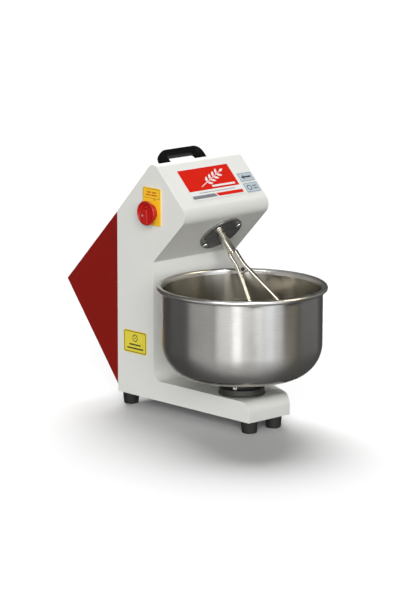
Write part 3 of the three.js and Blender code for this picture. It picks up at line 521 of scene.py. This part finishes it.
# ---------------------------------------------------------------- fastenings
def hex_head(work, radius, height, low=0.0, per_side=4, dish=0.0):
    """A hexagon head with its chamfered crown, standing on z = low."""
    across = radius * math.cos(math.pi / 6)
    flat = 0.93 * across
    rim = []
    for side in range(6):
        a, b = (math.pi / 3 * side, math.pi / 3 * (side + 1))
        start = Vector((math.cos(a), math.sin(a))) * radius
        end = Vector((math.cos(b), math.sin(b))) * radius
        rim += [start.lerp(end, k / per_side) for k in range(per_side)]
    slope = math.tan(math.radians(30))
    top = low + height
    rings = [[(p.x, p.y, low) for p in rim],
             [(p.x, p.y, top - (p.length - flat) * slope) for p in rim],
             [(p.x * flat / p.length, p.y * flat / p.length, top) for p in rim]]
    if dish:
        rings.append([(p.x * 0.7 * flat / p.length, p.y * 0.7 * flat / p.length, top) for p in rim])
        rings.append([(p.x * 0.6 * flat / p.length, p.y * 0.6 * flat / p.length, top - dish) for p in rim])
    add_rings(work, rings)


def bolt(name, node, where, size, body="machine", slot="bright_steel", material=None):
    """A hexagon bolt in a drawing frame whose z points out of the head."""
    overlap = 0.5                                            # how far the shank runs into the head
    work = bmesh.new()
    hex_head(work, size["head"], size["height"], dish=0.5)
    add_turned(work, cylinder(size["shank"], -size["length"], overlap), 20)
    screw = place(name, to_mesh(work, name), where)
    screw.data.materials.append(MATERIALS[material or slot])
    piece(screw, slot, [node], body)


# ---------------------------------------------------------------- feet
def feet():
    """Tapered rubber buffers, each with its bonded stud and the nut above the base plate."""
    base_sheet = 3
    height, nut_z = FOOT["height"], BASE_Z + base_sheet + GAP
    profile = rounded([(0, 0), (FOOT["bottom"], 0, 2.2), (FOOT["top"], height, 1.0), (0, height)],
                      closed=False, steps=6)
    for corner, (x, u) in FOOT_SPOTS.items():
        work = bmesh.new()
        add_turned(work, profile, 64)
        add_turned(work, cylinder(FOOT["stud"], height - 1, nut_z + 8), 24)
        hex_head(work, 8, 5, nut_z)
        name = f"rubber_foot_{corner}"
        foot = place(name, to_mesh(work, name), axes(spot(x, u, 0), (1, 0, 0), (0, 1, 0)))
        foot.data.set_sharp_from_angle(angle=math.radians(40))
        piece(foot, "foot_rubber", [f"foot_{corner}"])


# ---------------------------------------------------------------- handle
def sweep_rings(path, section):
    """Rings of a section carried along a flat path in x and z; section gives (side, out) points."""
    rings = []
    for i, point in enumerate(path):
        before, after = path[max(i - 1, 0)], path[min(i + 1, len(path) - 1)]
        along = (after - before).normalized()
        out = Vector((-along.y, along.x))
        rings.append([(point.x + out.x * b, a, point.y + out.y * b) for a, b in section(i)])
    return rings


def oval(wide, thick, sides=28, power=2.8):
    points = []
    for k in range(sides):
        angle = 2 * math.pi * k / sides
        c, s = math.cos(angle), math.sin(angle)
        points.append((wide * math.copysign(abs(c) ** (2 / power), c),
                       thick * math.copysign(abs(s) ** (2 / power), s)))
    return points


def handle():
    """A moulded bow with a flattened grip and legs that thicken towards their feet."""
    wide, thick = HANDLE["wide"], HANDLE["thick"]
    reach = HANDLE["length"] / 2 - thick
    top = HANDLE["height"] - thick
    corner = HANDLE["corner"]
    path = rounded([(-reach, 0), (-reach, top, corner), (reach, top, corner), (reach, 0)], False, 12)
    work = bmesh.new()
    add_rings(work, sweep_rings(path, lambda i: oval(wide, thick + HANDLE["flare"] * (1 - path[i].y / top))))
    bow = place("bow_handle", to_mesh(work, "bow_handle"), handle_frame())
    bow.data.set_sharp_from_angle(angle=math.radians(50))
    piece(bow, "handle_plastic", ["carry_handle"])


# ---------------------------------------------------------------- bowl
def bowl_profile():
    inner = BOWL_RADIUS - BOWL_WALL
    floor = BOWL_BOTTOM_Z + BOWL_WALL
    outside = rounded([(0, BOWL_BOTTOM_Z), (BOWL_RADIUS, BOWL_BOTTOM_Z, BOWL_CORNER),
                       (BOWL_RADIUS, BOWL_RIM_Z - 3)], False, 16)
    centre = BOWL_RADIUS + RIM_TUBE - 0.4
    steps = 26
    bead = [Vector((centre + RIM_TUBE * math.cos(a), BOWL_RIM_Z + RIM_TUBE * math.sin(a)))
            for a in (math.radians(-150 + 330 * i / steps) for i in range(steps + 1))]
    inside = rounded([(0, floor), (inner, floor, BOWL_CORNER - BOWL_WALL), (inner, BOWL_RIM_Z - 6)],
                     False, 16)
    return outside[:-1] + bead + inside[::-1]


def bowl():
    shell = place("steel_bowl", turned("steel_bowl", bowl_profile(), 144), BOWL)
    shell.data.set_sharp_from_angle(angle=math.radians(50))
    piece(shell, "stainless", ["bowl"], "bowl", extra=("inside_steel_shade_and_reflection", "rim_steel"))
    # The bead takes the rim steel; the inner wall and floor take the darker, warmer copy of the stainless,
    # which is painted shade and painted reflection.
    for face in shell.data.polygons:
        middle = face.center / MM
        if middle.z > BOWL_RIM_Z - 6:
            face.material_index = 2
        elif middle.dot(face.normal) < 0 or face.normal.z > 0.5:
            face.material_index = 1

    low, top = PLATE_BOTTOM_Z, BOWL_BOTTOM_Z - GAP
    profile = rounded([(0, low), (PLATE_RADIUS - 3, low), (PLATE_RADIUS, low + 3, 1),
                       (PLATE_RADIUS, top - 1, 0.6), (PLATE_RADIUS - 1, top), (0, top)], False, 4)
    plate = place("bowl_disc", turned("bowl_disc", profile, 96), BOWL)
    plate.data.set_sharp_from_angle(angle=math.radians(30))
    # The disc is painted near-black rather than its dark steel: painted shade from the bowl above it.
    plate.data.materials.append(MATERIALS["black_steel_painted_shade"])
    piece(plate, "dark_steel", ["bowl_plate"], "bowl")

    floor = BOWL_BOTTOM_Z + BOWL_WALL + GAP
    for i in range(3):
        angle = i * 2 * math.pi / 3 + BOWL_BOLT["turn"]
        seat = Vector((BOWL_BOLT["circle"] * math.cos(angle), BOWL_BOLT["circle"] * math.sin(angle), floor))
        where = BOWL @ Matrix.Translation(seat * MM)
        bolt(f"bowl_bolt_head_{i + 1}", f"bowl_bolt_{i + 1}", where, BOWL_BOLT, "bowl")
    out = Vector((math.cos(SET_SCREW["turn"]), math.sin(SET_SCREW["turn"]), 0))
    seat = out * (PLATE_RADIUS + GAP) + Vector((0, 0, PLATE_BOTTOM_Z + SET_SCREW["up"]))
    where = BOWL @ axes(seat * MM, (0, 0, 1), Vector((0, 0, 1)).cross(out) * -1)
    bolt("set_screw", "plate_set_screw", where, SET_SCREW, "bowl")


def pedestal():
    """The turned bearing hub that stands on the deck, with its bearing pockets and through bore."""
    radius, tube, bore, pocket = HUB["radius"], HUB["tube"], HUB["bore"], HUB["pocket"]
    top, bottom, deck = PLATE_BOTTOM_Z - 1, HUB["bottom"], DECK_Z + GAP
    lower, upper = bottom + HUB["lower_pocket"], top - HUB["upper_pocket"]
    profile = [(bore, lower), (pocket, lower), (pocket, bottom), (tube, bottom), (tube, deck),
               (radius, deck), (radius, deck + 3), (radius - 1.5, deck + 5), (radius - 2, top - 1),
               (radius - 3, top), (pocket, top), (pocket, upper), (bore, upper), (bore, lower)]
    hub = place("bearing_hub", turned("bearing_hub", profile, 96), BOWL)
    hub.data.set_sharp_from_angle(angle=math.radians(30))
    # The hub is painted near-black rather than its casting grey: painted shade under the bowl.
    hub.data.materials.append(MATERIALS["black_iron_painted_shade"])
    piece(hub, "castings", ["bowl_pedestal"])


# ---------------------------------------------------------------- fork
def half_spread(s):
    """Distance of a prong's centre from the fork axis, s millimetres down from the head."""
    free = min(max(s, NECK_END), PRONG_BEND) - NECK_END
    close = max(s - PRONG_BEND, 0)
    return PRONG_SPREAD + PRONG_SLOPE * (free + close - close * close / (FORK_REACH - PRONG_BEND))


def smooth_spread(s, reach=9.0):
    """The same, with its two bends eased."""
    samples = [half_spread(s + reach * k / 4) for k in range(-4, 5)]
    return sum(samples) / len(samples)


def fork():
    start = SHAFT_OUT + GAP
    work = bmesh.new()
    sides = 24
    for side in (-1, 1):
        steps = 90
        path = [Vector((side * smooth_spread(s), -s)) for s in
                (start + (FORK_REACH - start) * i / steps for i in range(steps + 1))]
        rings = []
        for i, point in enumerate(path):
            along = (path[min(i + 1, steps)] - path[max(i - 1, 0)]).normalized()
            out = Vector((-along.y, along.x))
            rings.append([(point.x + out.x * p.x, p.y, point.y + out.y * p.x)
                          for p in circle(PRONG_RADIUS, sides)])
        add_rings(work, rings)
    thick, side_end, middle_end = WEB["thick"], -WEB["side_end"], -WEB["middle_end"]
    web = [(-PRONG_SPREAD, -start - 6), (0, -start - 1.5), (PRONG_SPREAD, -start - 6),
           (PRONG_SPREAD + 2.4, side_end), (6, middle_end), (-6, middle_end),
           (-PRONG_SPREAD - 2.4, side_end)]
    add_prism(work, web, -thick, thick, lambda x, z, y: (x, y, z), material=1)
    obj = place("fork", to_mesh(work, "fork"), FORK)
    bevel(obj, 0.9, 2, 50)
    soften(obj)
    # The prongs take the bar steel, whose yellow tint is a painted warm reflection.
    obj.data.materials.append(MATERIALS["bar_steel_and_warm_reflection"])
    # The web takes the dark copy of the steel, painted shade between the prongs.
    piece(obj, "stainless", ["mixing_fork"], "mixing_arm", extra=("web_steel_painted_shade",))
    seat = FORK @ axes(Vector((0, -thick - GAP, -FORK_BOLT["depth"])) * MM, (1, 0, 0), (0, 0, 1))
    # The neck bolt is painted near-black rather than its dark steel: painted shade in the crotch of the fork.
    bolt("neck_bolt", "fork_bolt", seat, FORK_BOLT, "mixing_arm", slot="dark_steel",
         material="black_steel_painted_shade")


def shaft():
    radius = SHAFT_RADIUS
    pin, pin_end = 3.2, -SHAFT_OUT - 32                      # the shaft's tail inside the fork's neck
    profile = [(0, pin_end), (pin, pin_end), (pin, -SHAFT_OUT), (radius - 0.8, -SHAFT_OUT),
               (radius, 0.8 - SHAFT_OUT), (radius, -FLANGE_THICKNESS - 6), (radius, SHAFT_TOP),
               (0, SHAFT_TOP)]
    rod = place("fork_shaft", turned("fork_shaft", profile, 64), DRIVE)
    rod.data.set_sharp_from_angle(angle=math.radians(30))
    # The shaft takes the bar steel, whose yellow tint is a painted warm reflection.
    rod.data.materials.append(MATERIALS["bar_steel_and_warm_reflection"])
    piece(rod, "stainless", ["arm_shaft"], "mixing_arm")


def flange():
    low = -FLANGE_THICKNESS - GAP
    bore = SHAFT_RADIUS + 1
    profile = [(bore, -GAP), (bore, low + 1), (bore + 0.6, low), (FLANGE_RADIUS - 0.8, low),
               (FLANGE_RADIUS, low + 0.8), (FLANGE_RADIUS, -GAP - 0.4), (FLANGE_RADIUS - 0.4, -GAP),
               (bore, -GAP)]
    disc = place("bearing_flange", turned("bearing_flange", profile, 96), DRIVE)
    disc.data.set_sharp_from_angle(angle=math.radians(30))
    piece(disc, "dark_steel", ["arm_flange"])
    for i in range(4):
        angle = math.pi / 4 + i * math.pi / 2
        ring = FLANGE_BOLT["circle"]
        seat = Vector((ring * math.cos(angle), ring * math.sin(angle), low - GAP))
        where = DRIVE @ axes(seat * MM, (1, 0, 0), (0, -1, 0))
        bolt(f"flange_bolt_head_{i + 1}", f"flange_bolt_{i + 1}", where, FLANGE_BOLT)


# ---------------------------------------------------------------- main switch
def main_switch():
    base = SWITCH["thick"] + GAP
    low, high = SWITCH["bottom"] - SWITCH["z"], SWITCH["top"] - SWITCH["z"]
    work = bmesh.new()
    half = SWITCH["half"]
    add_prism(work, box_outline(-half, half, low, high, 4), GAP, base)
    border = [("print_brown", box_outline(-half + 2, half - 2, 33.5, high - 2, 2)),
              ("switch_yellow", box_outline(-half + 3, half - 3, 34.5, high - 3, 1.5))]
    words = [("print_rust", box_outline(x0, x1, y0, y0 + 3.4, 0.8)) for x0, x1, y0 in
             ((-16, -2, 46), (2, 16, 46), (-19, -4, 39.5), (-1, 19, 39.5))]
    mark = [("print_black", rounded([(8, 32), (13, 32), (10.5, 28.5)], steps=1))]
    names = add_prints(work, base, border + words + mark, "switch_yellow")
    plate = place("switch_face", to_mesh(work, "switch_face"), SWITCH_AXIS)
    plate.data.set_sharp_from_angle(angle=math.radians(30))
    give_prints(plate, names)
    piece(plate, "switch_yellow", ["switch_plate"])

    bottom = base + GAP
    radius, recess = KNOB["radius"], KNOB["recess"]
    face = bottom + KNOB["height"]
    neck, ring = KNOB["neck"], bottom + KNOB["ring"]
    profile = rounded([(0, bottom), (neck, bottom), (neck, ring, 2), (radius - 1, ring, 1.5),
                       (radius, ring + 2, 1), (radius - 1, face, 1.5), (recess + 1.5, face, 1.5),
                       (recess - 1.5, face - 10, 2), (0, face - 10)], False, 5)
    work = bmesh.new()
    add_turned(work, profile, 80)
    knob = place("knob_dish", to_mesh(work, "knob_dish"), SWITCH_AXIS)
    knob.data.set_sharp_from_angle(angle=math.radians(40))
    bar_outline = rounded([(-10, -27, 4), (10, -27, 4), (8, 11, 4), (-8, 11, 4)], steps=6)
    bar_top = bottom + KNOB["bar"]
    bar = place("knob_bar", prism("knob_bar", bar_outline, face - 11, bar_top), SWITCH_AXIS)
    bevel(bar, 1.6, 3, 50)
    soften(bar)
    piece(knob, "switch_red", ["switch_knob"], "switch_knob")
    piece(bar, "switch_red", [], "switch_knob")
    insert_outline = box_outline(-9.2, -4, -7.5, -4, 1)
    insert = place("knob_insert", prism("knob_insert", insert_outline, face - 2, bar_top + 0.1), SWITCH_AXIS)
    insert.data.materials.append(MATERIALS["sticker_pale"])
    piece(insert, "switch_red", [], "switch_knob")


# ---------------------------------------------------------------- printed labels
# Film thickness; how deep a print starts in it, how far the first stands out, and each next one more.
PRINT = {"film": 0.55, "sunk": 0.05, "proud": 0.03, "step": 0.012}


def add_prints(work, face, prints, base_material):
    """Lays printed shapes on a label, each a hair above the one before. Returns the material names used."""
    names = [base_material]
    for level, (name, outline) in enumerate(prints):
        if name not in names:
            names.append(name)
        add_prism(work, outline, face - PRINT["sunk"], face + PRINT["proud"] + PRINT["step"] * level,
                  material=names.index(name))
    return names


def give_prints(obj, names):
    for name in names:
        obj.data.materials.append(MATERIALS[name])


def label(name, node, slot, base, outline, prints, where):
    work = bmesh.new()
    face = GAP + PRINT["film"]
    add_prism(work, outline, GAP, face)
    names = add_prints(work, face, prints, base)
    obj = place(name, to_mesh(work, name), where)
    obj.data.set_sharp_from_angle(angle=math.radians(30))
    give_prints(obj, names)
    piece(obj, slot, [node])


def leaf(x, y, angle, length, width, steps=10):
    """A pointed oval, from its root along an angle."""
    turn = Matrix.Rotation(angle, 2)
    upper = [(length * k / steps, width * math.sin(math.pi * k / steps)) for k in range(steps + 1)]
    lower = [(a, -b) for a, b in upper[-2:0:-1]]
    return [turn @ Vector(p) + Vector((x, y)) for p in upper + lower]


def front_label():
    """A red field with a white ear of grain, and two strips below it."""
    x0, x1, y0, y1 = -89, 79, -128, -36
    red = rounded([(x0 + 3, y0 + 26), (x1 - 3, y0 + 26), (x1 - 3, y1 - 3), (x0 + 3, y1 - 3)])
    tilt = 24
    turn = Matrix.Rotation(math.radians(tilt), 2)

    def lie(x, y):
        """A point of the ear of grain, from along and across its stem."""
        return turn @ Vector((x, y)) + Vector((-40, -92))

    stem = [lie(0, -0.9), lie(92, -0.7), lie(92, 0.7), lie(0, 0.9)]
    grain = []
    for k in range(4):
        for side in (-1, 1):
            root = lie(26 + 15 * k, side)
            grain.append(("print_white", leaf(*root, math.radians(tilt + 40 * side), 17, 3.4)))
    grain.append(("print_white", leaf(*lie(86, 0), math.radians(tilt), 16, 3.2)))
    grain.append(("print_white", box_outline(-8, 66, -97, -91.5, 1)))
    prints = [("label_red", red), ("print_white", stem), *grain,
              ("print_grey", rounded([(x0 + 3, y0 + 4), (-8, y0 + 4), (-14, y0 + 13), (x0 + 3, y0 + 13)])),
              ("label_red", rounded([(-4, y0 + 4), (x1 - 3, y0 + 4), (x1 - 3, y0 + 13), (-10, y0 + 13)])),
              ("print_grey", box_outline(-60, 56, y0 + 18.5, y0 + 20, 0.5))]
    label("front_label_print", "front_label", "label_red", "print_white",
          box_outline(x0, x1, y0, y1, 2), prints, FRONT_SLOPE)


def small_stickers():
    x0, x1 = 87, 131
    arrow = [(x0 + 7, -83.5), (x0 + 17, -76), (x0 + 15, -81.5), (x0 + 38, -81), (x0 + 38, -86),
             (x0 + 15, -85.5), (x0 + 17, -91)]
    for name, node, y0, y1, mark in (
            ("rotation_print", "rotation_sticker", -96, -71, [("print_black", arrow)]),
            ("rating_print", "rating_sticker", -128, -101,
             [("print_black", circle(7.5, 32, x0 + 14, -114.5)),
              ("sticker_pale", circle(5.4, 32, x0 + 14, -114.5)),
              ("print_black", box_outline(x0 + 25, x0 + 38, -112, -109.6, 0.6)),
              ("print_black", box_outline(x0 + 25, x0 + 38, -119.4, -117, 0.6))])):
        frame_print = [("print_grey", box_outline(x0 + 0.8, x1 - 0.8, y0 + 0.8, y1 - 0.8, 1)),
                       ("sticker_pale", box_outline(x0 + 2, x1 - 2, y0 + 2, y1 - 2, 0.8))]
        label(name, node, "sticker_pale", "sticker_pale", box_outline(x0, x1, y0, y1, 1.5),
              frame_print + mark, FRONT_SLOPE)


def caution_sticker():
    """Yellow with a dark border, a plain ring and two plain bars."""
    prints = [("print_brown", box_outline(24, 101, 133, 184, 5)),
              ("sticker_yellow", box_outline(26, 99, 135, 182, 4)),
              ("print_black", circle(9, 32, 62.5, 168)), ("sticker_yellow", circle(6.8, 32, 62.5, 168)),
              ("print_black", circle(2, 20, 62.5, 168)),
              ("print_black", box_outline(42, 82, 150, 153.4, 1)),
              ("print_black", box_outline(34, 91, 141, 144.6, 1))]
    label("caution_print", "caution_sticker", "sticker_yellow", "sticker_yellow",
          box_outline(22, 103, 131, 186, 5), prints, PANEL)


# ---------------------------------------------------------------- everything else keeps its CAD shape
def finish_cad_nodes():
    for part in frame["record"]["subparts"]:
        obj = frame["nodes"][part["node"]]
        obj.data.materials.clear()
        obj.data.materials.append(MATERIALS[part["material_slot"]])


# ---------------------------------------------------------------- stage, light and camera
# Lights are placed in metres and degrees round this point.
LIGHT_TARGET = Vector((0, 0, 0.3))
SUN_DISTANCE, SUN_SPREAD = 4, 45
GLOW_DISTANCE = 2.6
SUNS = [                         # name, azimuth, elevation, strength
    ("overhead", 141, 45, 5.5),
    ("key", -43, 17, 3.35),
    ("left_fill", -95, 10, 0.4),
]
GLOWS = [                        # name, azimuth, elevation, width, height, power, colour if not white
    ("top_panel", 150, 80, 0.8, 0.8, 5),
    ("front_panel", -44, 32, 2.4, 1.8, 3),
    ("high_strip_right", 33, 36, 0.35, 1.4, 18, (1.0, 0.86, 0.62)),
    ("high_strip_middle", -22, 36, 0.5, 1.4, 50),
    ("high_strip_left", -70, 36, 0.6, 1.4, 16),
    ("rear_left_glow", -140, 0, 2.0, 1.6, 0.7),
    ("left_glow", -100, 0, 1.8, 1.6, 6),
    ("middle_glow", -54, 0, 2.1, 1.6, 13.5),
    ("right_glow", -4, 0, 1.6, 1.6, 9, (0.93, 0.96, 1.0)),
    ("middle_strip", -48, 0, 0.5, 1.6, 5),
    ("right_strip", -5, 0, 0.5, 1.6, 2, (0.90, 0.94, 1.0)),
    ("far_right_glow", 65, 0, 2.2, 1.6, 1.8),
]
FLOOR_GLOW = {"azimuth": -43, "out": 0.41, "up": 0.002, "wide": 1.2, "deep": 0.34, "power": 0.45}
CAMERA = {"azimuth": -43.24, "elevation": 11.84, "distance": 8.0, "lens": 201.75, "sensor": 36,
          "aim": (-33.4, 177.8, 263.9)}


def floor():
    size = 60.0
    work = bmesh.new()
    corners = ((-size, -size), (size, -size), (size, size), (-size, size))
    work.faces.new([work.verts.new((x, y, 0)) for x, y in corners])
    mesh = bpy.data.meshes.new("floor")
    work.to_mesh(mesh)
    work.free()
    obj = place("floor", mesh, Matrix.Identity(4))
    mesh.materials.append(finish_of("floor_paint", (0.66, 0.66, 0.66), (0.655, 0.655, 0.655), (0.7, 0.8),
                                    patch=0.5, grain=50, grain_height=0.0, specular=0.0))
    obj.visible_glossy = False
    obj.visible_diffuse = False


def direction(azimuth, elevation):
    """A unit vector away from the machine. Azimuth 0 is the front and 90 the machine's right."""
    a, e = math.radians(azimuth), math.radians(elevation)
    return Vector((math.sin(a) * math.cos(e), -math.cos(a) * math.cos(e), math.sin(e)))


def aimed(name, light, azimuth, elevation, distance, for_steel):
    """Puts a light round the machine, facing its middle.
    A light for steel is seen only as a mirror image; any other light leaves no mirror image."""
    obj = bpy.data.objects.new(name, light)
    source = direction(azimuth, elevation)
    obj.location = LIGHT_TARGET + source * distance
    obj.rotation_euler = source.to_track_quat("Z", "Y").to_euler()
    obj.visible_glossy = for_steel
    obj.visible_diffuse = not for_steel
    bpy.context.scene.collection.objects.link(obj)


def soft_sun(name, azimuth, elevation, strength):
    """A distant light with soft shadows, for paint, plastic and floor."""
    light = bpy.data.lights.new(name, "SUN")
    light.energy = strength
    light.angle = math.radians(SUN_SPREAD)
    aimed(name, light, azimuth, elevation, SUN_DISTANCE, False)


def glow(name, azimuth, elevation, width, height, power, colour=(1, 1, 1)):
    """A bright panel that shows as a soft band in steel."""
    light = bpy.data.lights.new(name, "AREA")
    light.shape = "RECTANGLE"
    light.size, light.size_y = width, height
    light.energy = power
    light.color = colour
    aimed(name, light, azimuth, elevation, GLOW_DISTANCE, True)


def floor_glow():
    """A bright sheet on the floor before the bowl, seen only in the steel of its lower curve."""
    light = bpy.data.lights.new("floor_glow", "AREA")
    light.shape = "RECTANGLE"
    light.size, light.size_y = FLOOR_GLOW["wide"], FLOOR_GLOW["deep"]
    light.energy = FLOOR_GLOW["power"]
    obj = bpy.data.objects.new("floor_glow", light)
    out = direction(FLOOR_GLOW["azimuth"], 0) * FLOOR_GLOW["out"]
    obj.location = BOWL.translation + out + Vector((0, 0, FLOOR_GLOW["up"]))
    obj.rotation_euler = (math.pi, 0, math.radians(FLOOR_GLOW["azimuth"]))
    obj.visible_diffuse = False
    obj.visible_camera = False
    bpy.context.scene.collection.objects.link(obj)


def studio():
    world = bpy.data.worlds.new("studio")
    world.use_nodes = True
    background = world.node_tree.nodes["Background"]
    background.inputs[0].default_value = (1, 1, 1, 1)
    background.inputs[1].default_value = 0.08
    bpy.context.scene.world = world
    bpy.context.scene.view_settings.view_transform = "Standard"
    for sun in SUNS:
        soft_sun(*sun)
    for panel in GLOWS:
        glow(*panel)
    floor_glow()


def camera():
    data = bpy.data.cameras.new("camera")
    data.lens = CAMERA["lens"]
    data.sensor_width = CAMERA["sensor"]
    obj = bpy.data.objects.new("camera", data)
    back = direction(CAMERA["azimuth"], CAMERA["elevation"])
    obj.location = spot(*CAMERA["aim"]) + back * CAMERA["distance"]
    obj.rotation_euler = back.to_track_quat("Z", "Y").to_euler()
    bpy.context.scene.collection.objects.link(obj)
    bpy.context.scene.camera = obj


camera()
finish_cad_nodes()
body_shell()
rear_cover()
feet()
handle()
bowl()
pedestal()
shaft()
fork()
flange()
main_switch()
front_label()
small_stickers()
caution_sticker()
floor()
studio()
